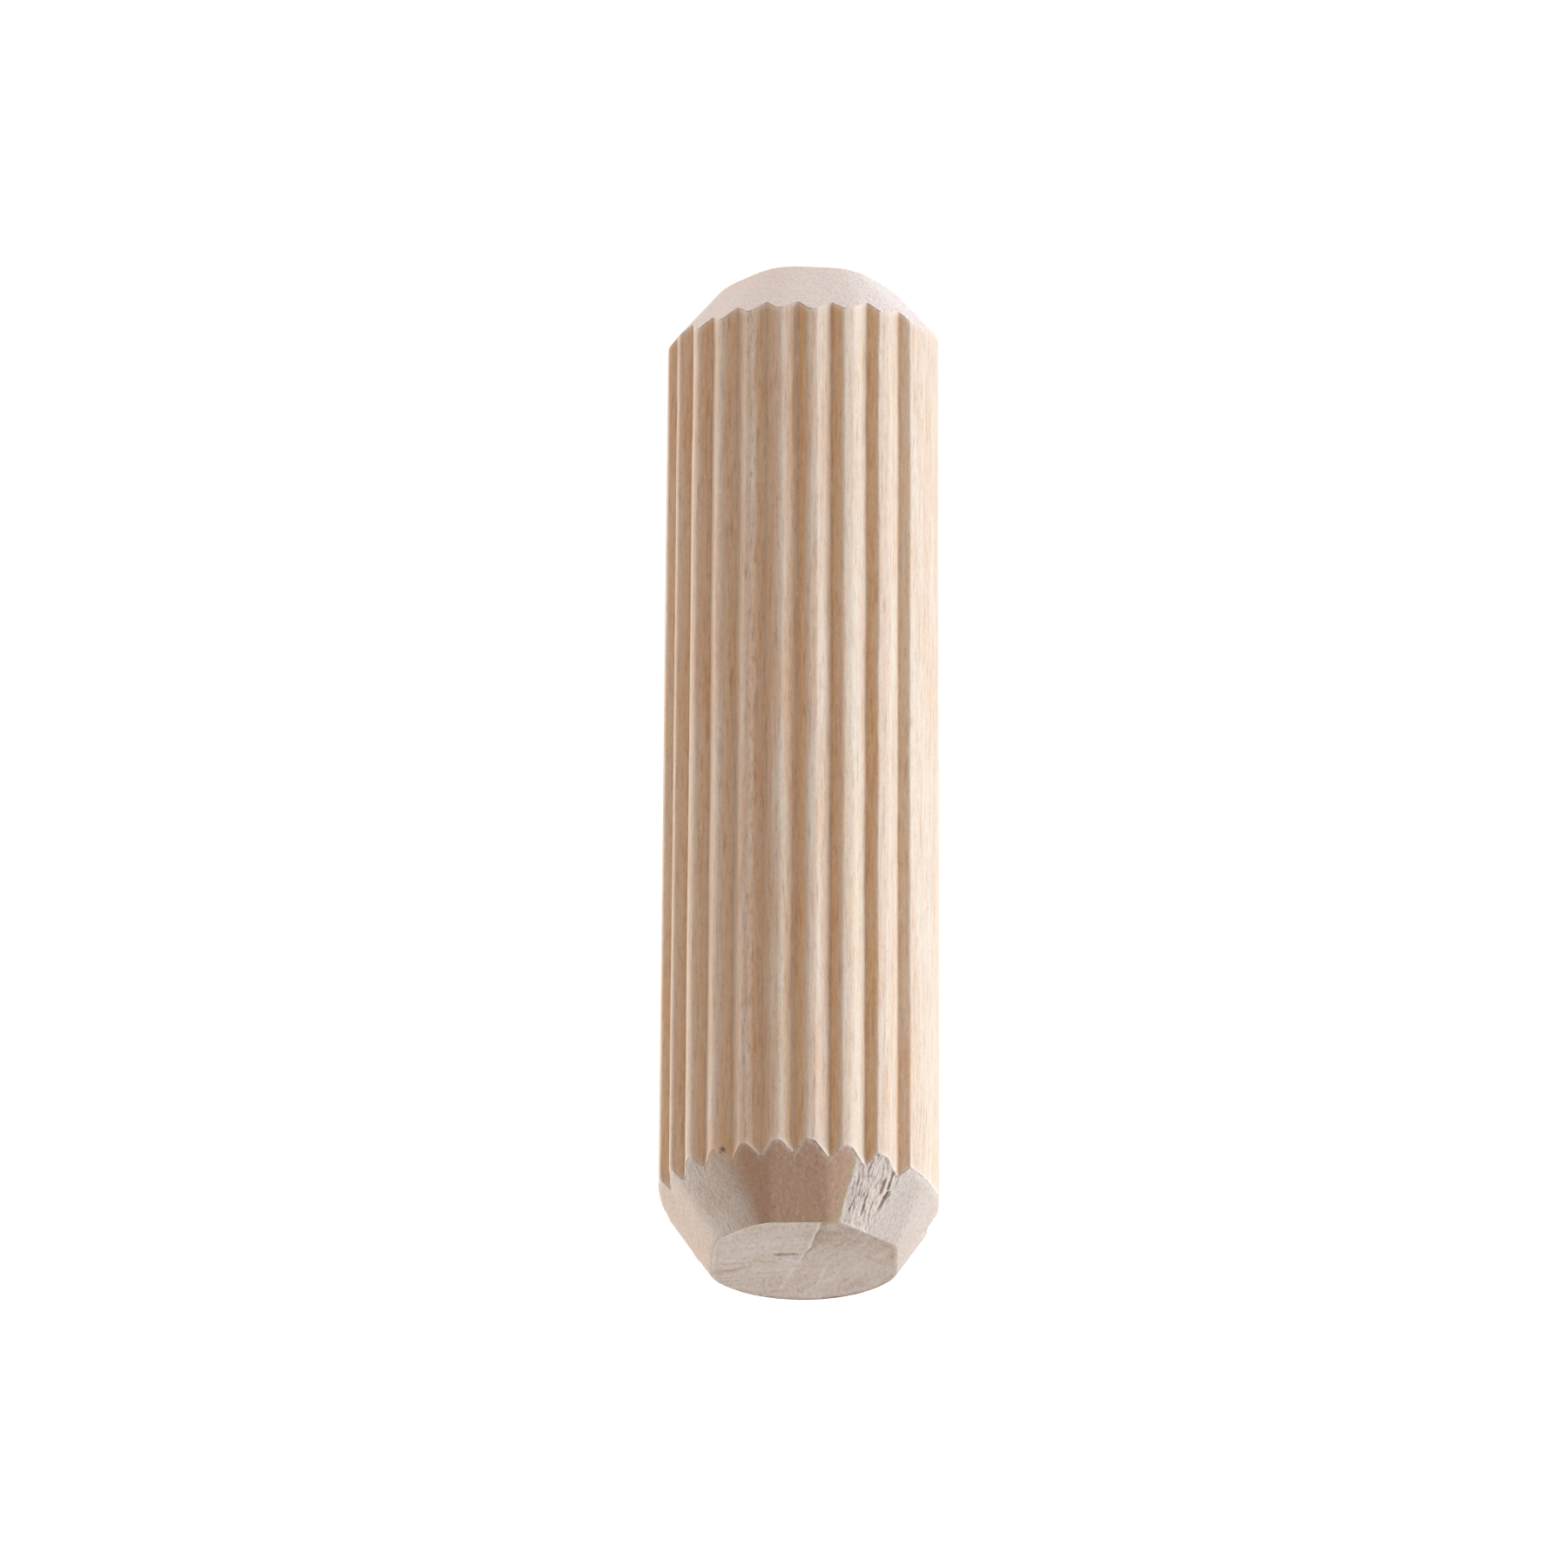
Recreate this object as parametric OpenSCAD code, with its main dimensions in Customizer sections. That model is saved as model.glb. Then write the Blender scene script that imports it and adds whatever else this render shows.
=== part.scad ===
// Fluted wooden dowel pin, millimetres.
// It stands on its square foot at z = 0. +Z runs along the pin, and the front is -Y.
// Azimuths are degrees from the front, positive towards +X.

/* [Pin] */
// Diameter over the smooth lands and the flute crests
pin_diameter = 7.8; // [6:0.1:12]
// Length from the foot to the head
pin_length = 30; // [20:1:60]

/* [Flutes] */
// Depth of a flute below the pin's surface
flute_depth = 0.29; // [0.1:0.01:0.5]
// Number of flutes that each of the two cutters leaves
flutes_per_cutter = 9; // [3:1:9]
// Angle between neighbouring flutes in the middle of a cutter
flute_pitch = 14.4; // [10:0.1:16]
// Share by which the spacing grows one flute away from the middle of a cutter
pitch_growth = 0.006; // [0:0.001:0.01]
// Azimuth of the middle of the first cutter, with the second cutter opposite
cutter_azimuth = 24.6; // [-90:0.1:90]
// Flute spacings by which a cutter's flutes sit off its middle, towards smaller azimuths
cutter_offset = 0.55; // [-0.6:0.05:0.6]
// Slope of both flute walls against the surface where the cutter points straight in
wall_slope = 38; // [30:1:50]
// Azimuth, from the middle of the cutter, at which it points straight in
straight_azimuth = -10.6; // [-15:0.1:0]
// Degrees by which the walls lean over for each degree away from there
wall_lean = 0.31; // [0:0.01:0.31]

/* [Head chamfer] */
// Depth of the chamfer at the head, measured inwards from the pin's surface
head_chamfer_depth = 1.05; // [0.4:0.05:1.5]
// Angle of the chamfer against the pin's axis
head_chamfer_slope = 41.3; // [30:0.1:45]
// Depth of the flat strokes below the round chamfer
head_flat_depth = 0.23; // [0.05:0.01:0.4]
// Sideways shift of the chamfer, along X
head_shift_x = -0.11; // [-0.5:0.01:0.5]
// Sideways shift of the chamfer, along Y
head_shift_y = 0.36; // [-0.5:0.01:0.5]
// Tilt of the chamfer about X, steeper against the pin's axis at the front
head_tilt = 0; // [0:1:5]
// Azimuth of the middle flat
head_flat_azimuth = 2; // [-22:1:22]

/* [Foot chamfer] */
// Depth of the chamfer at the foot, measured inwards from the pin's surface
foot_chamfer_depth = 1.19; // [0.4:0.01:1.5]
// Angle of the chamfer against the pin's axis
foot_chamfer_slope = 35.6; // [30:0.1:45]
// Depth of the flat strokes below the round chamfer
foot_flat_depth = 0.08; // [0.05:0.01:0.4]
// Sideways shift of the chamfer, along X
foot_shift_x = -0.14; // [-0.5:0.01:0.5]
// Sideways shift of the chamfer, along Y
foot_shift_y = 0.92; // [-1:0.01:1]
// Tilt of the chamfer about X, steeper against the pin's axis at the front
foot_tilt = 4; // [0:1:5]
// Azimuth of the middle flat
foot_flat_azimuth = -4; // [-22:1:22]

/* [Flats] */
// Number of flat strokes side by side on the front of each chamfer
flat_count = 5; // [1:1:8]
// Angle between neighbouring flat strokes
flat_pitch = 45; // [30:1:45]

/* [Hidden] */
front = -90;                             // the front, as an angle from +X
pin_radius = pin_diameter / 2;
root_radius = pin_radius - flute_depth;
clear_of_pin = 1;                        // how far a cutter reaches past the pin
cut_radius = pin_radius + clear_of_pin;

// Azimuth of flute number i, from the middle of its cutter: the spacing widens away from there.
function flute_azimuth(i) = let (steps = i - (flutes_per_cutter - 1) / 2 - cutter_offset)
    flute_pitch * steps * (1 + pitch_growth * steps * steps);

// Slopes of the two walls of a flute: they lean with the distance from the straight cut.
function far_wall_slope(azimuth) = wall_slope + wall_lean * (azimuth - straight_azimuth);
function near_wall_slope(azimuth) = wall_slope - wall_lean * (azimuth - straight_azimuth);

// One V cut along the whole pin, with its bottom edge on the root circle.
module flute(azimuth) {
    wall_rise = cut_radius - root_radius;
    rotate([0, 0, azimuth])
        translate([0, 0, -clear_of_pin])
            linear_extrude(pin_length + 2 * clear_of_pin)
                polygon([
                    [root_radius, 0],
                    [cut_radius, wall_rise / tan(far_wall_slope(azimuth))],
                    [cut_radius, -wall_rise / tan(near_wall_slope(azimuth))]
                ]);
}

// What is taken off around the pin at z = 0: a cone, then flat strokes on the front of it.
module end_cut(depth, slope, flat_depth, shift, tilt, flat_azimuth) {
    face_radius = pin_radius - depth;
    reach = cut_radius + norm(shift);
    below = clear_of_pin + reach * sin(tilt);
    stroke_size = 4 * reach;
    translate([shift.x, shift.y, 0])
        rotate([tilt, 0, 0]) {
            rotate_extrude($fn = 96)
                polygon([
                    [face_radius - below * tan(slope), -below],
                    [reach, -below],
                    [reach, (reach - face_radius) / tan(slope)]
                ]);
            for (stroke = [0 : flat_count - 1])
                rotate([0, 0, front + flat_azimuth + flat_pitch * (stroke - (flat_count - 1) / 2)])
                    translate([face_radius - flat_depth, 0, 0])
                        rotate([0, slope, 0])
                            translate([0, -stroke_size / 2, -stroke_size / 2])
                                cube(stroke_size);
        }
}

module dowel_pin() {
    color("burlywood")
        difference() {
            cylinder(h = pin_length, r = pin_radius, $fn = 96);
            for (cutter_turn = [0, 180])
                rotate([0, 0, front + cutter_azimuth + cutter_turn])
                    for (i = [0 : flutes_per_cutter - 1])
                        flute(flute_azimuth(i));
            end_cut(foot_chamfer_depth, foot_chamfer_slope, foot_flat_depth,
                [foot_shift_x, foot_shift_y], foot_tilt, foot_flat_azimuth);
            translate([0, 0, pin_length])
                mirror([0, 0, 1])
                    end_cut(head_chamfer_depth, head_chamfer_slope, head_flat_depth,
                        [head_shift_x, head_shift_y], head_tilt, head_flat_azimuth);
        }
}

dowel_pin();
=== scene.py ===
"""A fluted wooden dowel pin, dressed around its packed solid.

The pin stands on its square foot at z = 0, +Z runs along it to the head, and the front is -Y.
Azimuths run from the front, positive towards +X. Everything is in metres, in the solid's own frame.
"""

import math

import bpy
import numpy as np
from mathutils import Matrix, Vector


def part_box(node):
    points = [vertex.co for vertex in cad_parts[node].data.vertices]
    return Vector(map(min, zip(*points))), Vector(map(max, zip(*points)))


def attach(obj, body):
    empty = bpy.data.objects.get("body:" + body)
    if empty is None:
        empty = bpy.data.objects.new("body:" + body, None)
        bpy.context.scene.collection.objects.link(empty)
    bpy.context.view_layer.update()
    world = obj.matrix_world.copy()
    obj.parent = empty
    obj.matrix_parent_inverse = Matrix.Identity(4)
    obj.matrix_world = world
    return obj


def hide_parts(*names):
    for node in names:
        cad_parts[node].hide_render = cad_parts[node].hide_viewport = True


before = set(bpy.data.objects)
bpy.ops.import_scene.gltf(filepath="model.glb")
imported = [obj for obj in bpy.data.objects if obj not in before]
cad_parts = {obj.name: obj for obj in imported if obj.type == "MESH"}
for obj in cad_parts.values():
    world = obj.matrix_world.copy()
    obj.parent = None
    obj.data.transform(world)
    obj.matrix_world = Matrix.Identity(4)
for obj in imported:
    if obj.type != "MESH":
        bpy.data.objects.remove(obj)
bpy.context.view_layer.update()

NODE = "dowel_pin"
LOW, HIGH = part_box(NODE)
MM = 0.001
TURN = 2 * math.pi

bl_info = {
    "name": "Fluted dowel pin",
    "version": (1, 0, 0),
    "blender": (4, 5, 0),
    "location": "View3D > Sidebar > Dowel",
    "description": "Builds a fluted wooden dowel pin and a pale studio around it",
    "category": "Add Mesh",
}


# ---------------------------------------------------------------- settings

def length(name, description, default):
    """A property that holds a length in metres."""
    return bpy.props.FloatProperty(
        name=name, description=description, default=default, unit="LENGTH", precision=5)


def angle(name, description, degrees):
    """A property that holds an angle, given in degrees and kept in radians."""
    return bpy.props.FloatProperty(
        name=name, description=description, default=math.radians(degrees), subtype="ANGLE")


def number(name, description, default):
    """A property that holds a plain number."""
    return bpy.props.FloatProperty(name=name, description=description, default=default, precision=4)


def colour(name, description, rgb):
    """A property that holds a colour, as linear red, green and blue."""
    return bpy.props.FloatVectorProperty(
        name=name, description=description, default=rgb, size=3, subtype="COLOR", min=0, max=1)


def lengths(name, description, millimetres):
    """A property that holds a few lengths, given in millimetres and kept in metres."""
    return bpy.props.FloatVectorProperty(
        name=name, description=description, default=[value * MM for value in millimetres],
        size=len(millimetres), unit="LENGTH", precision=5)


def angles(name, description, degrees):
    """A property that holds a few angles, given in degrees and kept in radians."""
    return bpy.props.FloatVectorProperty(
        name=name, description=description, default=[math.radians(value) for value in degrees],
        size=len(degrees), unit="ROTATION")


class FluteSettings(bpy.types.PropertyGroup):
    """Sizes of the rod and of the V grooves along it."""

    diameter: length("Diameter", "Across the lands and crests", HIGH.x - LOW.x)
    pin_length: length("Length", "From the foot to the head", HIGH.z - LOW.z)
    depth: length("Flute depth", "From the surface to a flute's bottom", 0.29 * MM)
    count: bpy.props.IntProperty(
        name="Flutes", description="Flutes that each of the two cutters leaves", default=9, min=1)
    spacing: angle("Spacing", "Between neighbouring flutes in the middle of a cutter", 14.4)
    growth: number("Growth", "Share by which the spacing grows one flute from the middle", 0.006)
    cutter: angle("Cutter", "Azimuth of the first cutter, with the second opposite", 24.6)
    offset: number("Offset", "Spacings by which the flutes sit off the cutter's middle", 0.55)
    wall: angle("Wall", "Slope of the walls where the cutter points straight in", 38)
    straight: angle("Straight", "Azimuth from the cutter's middle of the straight cut", -10.6)
    lean: number("Lean", "Degrees that walls lean for each degree from the straight cut", 0.31)
    crest_round: length("Crest rounding", "Width over which a crest is worn round", 0.07 * MM)
    root_round: length("Root rounding", "Width over which a flute's bottom is round", 0.04 * MM)
    wander: length("Wander", "Sideways wander of the crests along the pin", 0.022 * MM)
    foot_wander: number("Foot wander", "Share by which the wander is stronger near the foot", 1.5)
    foot_from: length("Strong up to", "Height up to which the wander is strongest", 3 * MM)
    foot_to: length("Weak from", "Height where the wander is back to its own strength", 9 * MM)
    swell: length("Swell", "Unevenness of the surface along the pin", 0.012 * MM)


def chamfer_settings(depth, slope, shift, tilt, azimuths, reaches, slopes, rounds):
    """The properties of an end's chamfer: a cone cut askew, with five flat strokes in front."""
    return {
        "depth": length("Depth", "Inwards from the surface at the end face", depth * MM),
        "slope": angle("Slope", "Against the pin's axis", slope),
        "shift": lengths("Shift", "Sideways shift along X and Y", shift),
        "tilt": angle("Tilt", "About X, steeper at the front", tilt),
        "flat_azimuths": angles("Flats", "Azimuth of each flat stroke", azimuths),
        "flat_reaches": lengths("Flat reaches", "From the axis to each stroke's rim", reaches),
        "flat_slopes": angles("Flat slopes", "Each stroke against the pin's axis", slopes),
        "flat_rounds": lengths("Flat rounding", "Width of each stroke's soft edge", rounds),
    }


class HeadSettings(bpy.types.PropertyGroup):
    """Sizes of the chamfer at the head."""

    # At its sides this chamfer lies up to 0.3 mm deeper than the solid's.
    __annotations__ = chamfer_settings(
        depth=1.05, slope=33.4, shift=(-0.10, 0.64), tilt=6,
        azimuths=(-90.4, -47.5, 1.7, 50, 87), reaches=(2.735, 2.43, 2.32, 2.385, 2.38),
        slopes=(36.8, 41.6, 40.4, 41.5, 37.4), rounds=(0.2, 0.03, 0.03, 0.3, 0.3))


class FootSettings(bpy.types.PropertyGroup):
    """Sizes of the chamfer at the foot."""

    __annotations__ = chamfer_settings(
        depth=1.19, slope=35.6, shift=(-0.14, 0.92), tilt=4,
        azimuths=(-96.8, -51.3, -4.2, 43, 88.9), reaches=(2.866, 2.254, 1.867, 1.967, 2.477),
        slopes=(35.2, 38.2, 39.6, 38.6, 35.8), rounds=(0.1, 0.1, 0.1, 0.1, 0.1))


class ReliefSettings(bpy.types.PropertyGroup):
    """Heights of the marks that the saw and the chamfer cutter left in the wood."""

    torn: length("Torn fibres", "Depth of the cracks between the torn stroke's fibres", 0.031 * MM)
    torn_width: length("Fibre width", "Distance across the torn fibres", 0.075 * MM)
    torn_length: length("Fibre length", "Distance along the torn fibres", 0.30 * MM)
    grain: length("End grain", "Roughness of the cut end grain", 0.014 * MM)
    saw: length("Saw marks", "Depth of the saw marks on the head's face", 0.028 * MM)
    step: length("Torn step", "Height of the step torn across the head's face", 0.035 * MM)
    crack: length("Cracks", "Depth of the larger cracks", 0.10 * MM)
    lip: length("Lips", "Height of the raised fibres beside a crack", 0.03 * MM)
    chip: length("Chips", "Depth of the small chips along the chamfers' edges", 0.025 * MM)
    chip_reach: length("Chip reach", "Width of the chipped border", 0.12 * MM)
    rim_round: length("Rim rounding", "Width over which the soft part of a rim is round", 0.16 * MM)
    dressing: length("Dressing", "Left off all around, to stay in the solid's box", 0.002 * MM)


class MarkSettings(bpy.types.PropertyGroup):
    """Azimuths of the painted shade on the flute walls and on the head's front stroke, and of the
    places where the wood was stained or scuffed.
    """

    crisp: angles("Crisp rim", "Azimuths between which the head's rim is crisp", (-110, 24))
    # The head's front stroke: darker and more orange, partly its own colour and partly painted
    # shade.
    front_stroke_shade: angles("Pressed", "Azimuths over which the pressed stroke's colour fades", (23, 35))
    left_stain: angles("Left stain", "Where the stain on the head's chamfer starts, is full, "
                       "starts to fade and ends", (60, 85, 110, 150))
    right_stain: angles("Right stain", "Azimuths over which the other stain fades", (-60, -45))
    # Where the painted shade on the flute walls grows weaker.
    shade_tint: angles("Rubbed", "Azimuths over which the flutes' walls turn less rubbed", (0, 30))
    # A wall that gets little of that painted shade.
    unshaded_wall: angles("Spared", "Azimuth and half width of a wall that was hardly rubbed", (-53, 5))
    scuff: angles("Scuff", "Azimuth and half width of a scuffed streak", (21.6, 2.5))


# ---------------------------------------------------------------- smooth noise and blends

def smooth_step(value, start, end):
    """0 before start and 1 after end, with the cubic 3t^2 - 2t^3 between them."""
    t = np.clip((value - start) / (end - start), 0, 1)
    return t * t * (3 - 2 * t)


def between(value, start, full, fade, end):
    """0 before start, 1 from full to fade and 0 after end, with a smooth step on either side."""
    return smooth_step(value, start, full) * (1 - smooth_step(value, fade, end))


def bell(away, width, power=2):
    """1 at no distance away, falling on both sides as e to the minus (away / width)^power."""
    return np.exp(-(away / width) ** power)


def smooth_min(a, b, width):
    """The lower of a and b, less the parabola h^2 w / 4 where they are closer than the width w."""
    h = np.clip(width - np.abs(a - b), 0, None) / width
    return np.minimum(a, b) - h * h * width / 4


def smooth_max(a, b, width):
    """The higher of a and b, with the edge between them rounded as in smooth_min."""
    return -smooth_min(-a, -b, width)


def lattice_noise(x, y, z, seed):
    """Values from -1 to 1: random numbers on a repeating cubic lattice, blended by smooth steps."""
    side = 32
    table = np.random.default_rng(seed).uniform(-1, 1, (side, side, side))
    cells = [np.floor(c).astype(int) for c in (x, y, z)]
    blends = [(c - cell) ** 2 * (3 - 2 * (c - cell)) for c, cell in zip((x, y, z), cells)]
    total = 0
    for corner in np.ndindex(2, 2, 2):
        weight = 1
        for near, blend in zip(corner, blends):
            weight = weight * (blend if near else 1 - blend)
        index = tuple((cell + near) % side for near, cell in zip(corner, cells))
        total = total + weight * table[index]
    return total


def layered_noise(x, y, z, seed, layers=3):
    """Lattice noise in layers, each twice as fine and half as high as the one before."""
    total = sum(lattice_noise(x * 2 ** k, y * 2 ** k, z * 2 ** k, seed + k) / 2 ** k
                for k in range(layers))
    return total / sum(0.5 ** k for k in range(layers))


def flat_noise(x, y, seed, layers=3):
    """Layered noise on a plane."""
    return layered_noise(x, y, 0 * x, seed, layers)


# ---------------------------------------------------------------- the pin's surface

COLUMNS = 470
BODY_ROWS = 72
CHAMFER_ROWS = {"head": 48, "foot": 26}
FACE_ROWS = {"head": 44, "foot": 12}
PLAIN_CROWDING, TORN_CROWDING = 0.22, 1.6  # of the columns, against 1 at the sharpest crest
SHADED_WALL_STEEPNESS = 0.62, 0.95  # of a flute's wall, where the painted shade on it starts and where it is full

# Where the step is torn across the head's face: its points' Y and then their X, in millimetres.
STEP_LINE = (-2.2, -0.45, 0.49, 0.7), (-0.58, -0.30, -0.01, 0.1)

# Long cracks of the torn stroke: start and stop, across and down it, and width, all in
# millimetres, and depth as a share of the deepest, which also darkens each as painted shade.
TORN_CRACKS = (
    ((0.15, 1.70), (0.00, 1.22), 0.045, 0.7),
    ((-0.07, 1.19), (-0.03, 0.66), 0.055, 0.9),
    ((0.42, 2.00), (0.24, 1.78), 0.040, 0.4),
    ((0.62, 0.95), (0.42, 0.35), 0.040, 0.4),
    ((0.30, 1.45), (0.20, 1.05), 0.045, 0.5),
)

# Marks on the head's face: start and stop along X and Y, and width, all in millimetres, and
# depth as a share of the deepest crack or, where it is negative, height as a share of a lip. A
# crack is also darkened by its share as painted shade.
FACE_MARKS = (
    ((0.66, 0.13), (0.02, 0.02), 0.085, 0.9),
    ((0.44, 0.29), (0.02, 0.50), 0.090, -0.8),
    ((2.10, 0.58), (1.30, 0.42), 0.090, -0.7),
    ((2.20, 1.50), (1.30, 0.90), 0.120, 0.45),
    ((1.25, 0.55), (0.60, 0.62), 0.100, 0.30),
    ((-0.73, 0.90), (-0.50, 2.25), 0.090, -0.6),
    ((0.16, 0.90), (0.50, 2.50), 0.120, -0.5),
    ((0.90, -0.30), (0.25, 0.00), 0.100, -0.45),
)

# The values at every vertex that the wood's colour follows.
FIELDS = (
    "end_grain", "face", "torn", "crack", "pale", "stain", "lit_foot_chamfer", "front_stroke_shade", "fray", "band",
    "flute", "wall_shade", "scuff",
)


def outward(azimuth):
    """The unit vector of an azimuth across the pin: its sine along X, minus its cosine along Y."""
    return np.sin(azimuth), -np.cos(azimuth)


def within_half_turn(azimuth):
    """The same azimuth between minus and plus half a turn."""
    return (azimuth + math.pi) % TURN - math.pi


def flute_walls(flutes):
    """Azimuth, far wall slope and near wall slope of each flute, by the rule of the solid:
    s steps from the cutter's middle, a flute lies at s (1 + growth s^2) spacings, and its walls
    lean over by a share of its distance from the straight cut."""
    steps = np.arange(flutes.count) - (flutes.count - 1) / 2 - flutes.offset
    own = flutes.spacing * steps * (1 + flutes.growth * steps ** 2)
    lean = flutes.lean * (own - flutes.straight)
    azimuth = np.concatenate([flutes.cutter + own, flutes.cutter + own + math.pi])
    return azimuth, np.tile(flutes.wall + lean, 2), np.tile(flutes.wall - lean, 2)


def section_radius(azimuth, flutes):
    """Radius of the fluted section. A wall with slope w that leaves the root radius q has the
    radius q / (cos t - sin t tan w) at t from the flute's bottom, a flute is the higher of its two
    walls, and the section is the lowest of the round rod and all flutes."""
    rod = flutes.diameter / 2
    root = rod - flutes.depth
    radius = np.full(np.shape(azimuth), rod)
    for middle, far, near in zip(*flute_walls(flutes)):
        away = within_half_turn(azimuth - middle)
        walls = []
        for side, slope in ((1, far), (-1, near)):
            t = np.clip(side * away, -1, 1)
            below = np.cos(t) - np.sin(t) * math.tan(slope)
            walls.append(root / np.maximum(below, root / (2 * rod)))
        flute = smooth_max(walls[0], walls[1], flutes.root_round)
        radius = smooth_min(radius, flute, flutes.crest_round)
    return radius


def outside_cutter(x, y, h, end, rod):
    """Distance by which points at height h above an end's face stand outside its chamfer. In the
    cone's own frame, shifted and turned by the tilt, the cone's radius is that of the end face
    plus the rise times tan(slope). Each flat stroke lies at its reach plus h tan(its slope) from
    the pin's axis."""
    across = x - end.shift[0]
    back = (y - end.shift[1]) * math.cos(end.tilt) + h * math.sin(end.tilt)
    rise = h * math.cos(end.tilt) - (y - end.shift[1]) * math.sin(end.tilt)
    outside = np.hypot(across, back) - (rod - end.depth) - rise * math.tan(end.slope)
    for azimuth, reach, slope, width in zip(
            end.flat_azimuths, end.flat_reaches, end.flat_slopes, end.flat_rounds):
        way = outward(azimuth)
        flat = x * way[0] + y * way[1] - reach - h * math.tan(slope)
        outside = smooth_max(outside, flat, width)
    return outside


def meeting_azimuth(end, stroke):
    """Azimuth of the corner on the rim between a flat stroke and the next one: there the reach
    over the cosine of the angle from the stroke is the same for both."""
    a, b = end.flat_azimuths[stroke], end.flat_azimuths[stroke + 1]
    p, q = end.flat_reaches[stroke], end.flat_reaches[stroke + 1]
    return math.atan2(q * math.cos(a) - p * math.cos(b), p * math.sin(b) - q * math.sin(a))


def along_segment(x, y, start, end, width):
    """Profile of a straight mark from start to end: (1 - d^2 / w^2)^2 at the distance d, where
    the width w shrinks towards both ends."""
    run = math.hypot(end[0] - start[0], end[1] - start[1])
    way = (end[0] - start[0]) / run, (end[1] - start[1]) / run
    t = np.clip((x - start[0]) * way[0] + (y - start[1]) * way[1], 0, run)
    off_x, off_y = x - start[0] - t * way[0], y - start[1] - t * way[1]
    width = width * (0.3 + 0.7 * np.abs(np.sin(math.pi * t / run)) ** 0.5)
    return np.clip(1 - (off_x ** 2 + off_y ** 2) / width ** 2, 0, 1) ** 2


def halved(function, low, high, shape):
    """Where a rising function of one value crosses zero, by halving the range for each place."""
    halvings = 34
    low = np.full(shape, float(low))
    high = np.full(shape, float(high))
    for _ in range(halvings):
        middle = (low + high) / 2
        under = function(middle) < 0
        low = np.where(under, middle, low)
        high = np.where(under, high, middle)
    return (low + high) / 2


def column_azimuths(count, flutes, torn_azimuth):
    """Azimuths of the columns: even, but crowded where the fluted section bends, which is at each
    flute's bottom and each crest, and across the torn stroke. One column lies on each bottom."""
    samples, reach, blur = 7200, 12, 60
    azimuth = np.linspace(0, TURN, samples, endpoint=False)
    radius = section_radius(azimuth, flutes)
    bend = np.abs(np.roll(radius, -reach) - 2 * radius + np.roll(radius, reach))
    kernel = np.hanning(blur + 1)
    bend = np.concatenate([bend[-blur:], bend, bend[:blur]])
    crowd = np.convolve(bend, kernel / kernel.sum(), "same")
    crowd = crowd[blur:-blur] / crowd.max()
    away = np.abs(within_half_turn(azimuth - torn_azimuth))
    torn = TORN_CROWDING * (1 - smooth_step(away, math.radians(14), math.radians(26)))
    density = np.cumsum(PLAIN_CROWDING + crowd ** 0.5 + torn)
    even = np.linspace(0, density[-1], count, endpoint=False)
    columns = np.interp(even, density, azimuth)
    bottoms = np.sort(flute_walls(flutes)[0] % TURN)
    columns[np.searchsorted(columns, bottoms) % count] = bottoms
    return np.sort(columns)


def wandered(azimuth, z, flutes):
    """A column's azimuth at height z: its own, moved sideways by slow noise along the pin and by
    a weaker, quicker one."""
    right, back = outward(azimuth)
    patch = 1.1 * MM
    rod = flutes.diameter / 2
    slow = layered_noise(right * rod / patch, back * rod / patch, z / (3.4 * MM), seed=3, layers=2)
    quick = lattice_noise(right * rod / patch, back * rod / patch, z / (0.9 * MM), seed=4)
    near_foot = 1 + flutes.foot_wander * (1 - smooth_step(z, flutes.foot_from, flutes.foot_to))
    return azimuth + flutes.wander / rod * near_foot * (slow + 0.4 * quick)


def standing(azimuth, radius, z):
    """Points at a radius, azimuth and height, as an array whose last axis holds x, y and z."""
    right, back = outward(azimuth)
    return np.stack(np.broadcast_arrays(radius * right, radius * back, z), -1)


def crowded(count, start=1.0, end=1.0):
    """Fractions from 0 to 1 whose steps grow from a share of the full step at the start, and
    shrink to a share of it at the end."""
    t = (np.arange(count - 1) + 0.5) / (count - 1)
    growing = start + (1 - start) * smooth_step(t, 0, 0.15)
    shrinking = end + (1 - end) * smooth_step(1 - t, 0, 0.15)
    fractions = np.concatenate([[0], np.cumsum(np.minimum(growing, shrinking))])
    return fractions / fractions[-1]


def end_rows(name, end, flutes, columns, radius):
    """Rows of one end, as a dictionary: the rings of its face around the middle, and the rows of
    its chamfer up to the edge where it meets the fluted section. The distances say how far a
    ring lies from the rim, how far a chamfer row lies down its slope, and how long the slope is."""
    rod = flutes.diameter / 2

    def height(h):
        return flutes.pin_length - h if name == "head" else h

    def over(r, h):
        right, back = outward(wandered(columns, height(h), flutes))
        return outside_cutter(r * right, r * back, h, end, rod)

    edge = halved(lambda h: -over(radius, h), 0, flutes.diameter, columns.shape)
    h = crowded(CHAMFER_ROWS[name], 0.25, 0.25)[:, None] * edge
    reach = halved(lambda r: over(r, h), 0, 1.5 * rod, h.shape)
    chamfer = standing(wandered(columns, height(h), flutes), reach, height(h))
    middle = np.array([end.shift[0], end.shift[1], height(0.0)])
    inwards = crowded(FACE_ROWS[name], 0.2)[1:-1][::-1]
    spokes = chamfer[0] - middle
    return {
        "face": middle + (1 - inwards)[:, None, None] * spokes,
        "chamfer": chamfer,
        "edge": height(edge),
        "from_rim": inwards[:, None] * np.linalg.norm(spokes, axis=-1),
        "down": h / math.cos(end.slope),
        "slope_length": edge / math.cos(end.slope),
    }


def grid_normals(grid):
    """Outward unit normals of a grid of rows from the foot's middle to the head's, and of columns
    that close around: the cross product of the way along a row and the way to the next row."""
    along = np.roll(grid, -1, 1) - np.roll(grid, 1, 1)
    upward = np.gradient(grid, axis=0)
    normal = np.cross(along, upward)
    return normal / np.maximum(np.linalg.norm(normal, axis=-1, keepdims=True), 1e-15)


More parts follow.
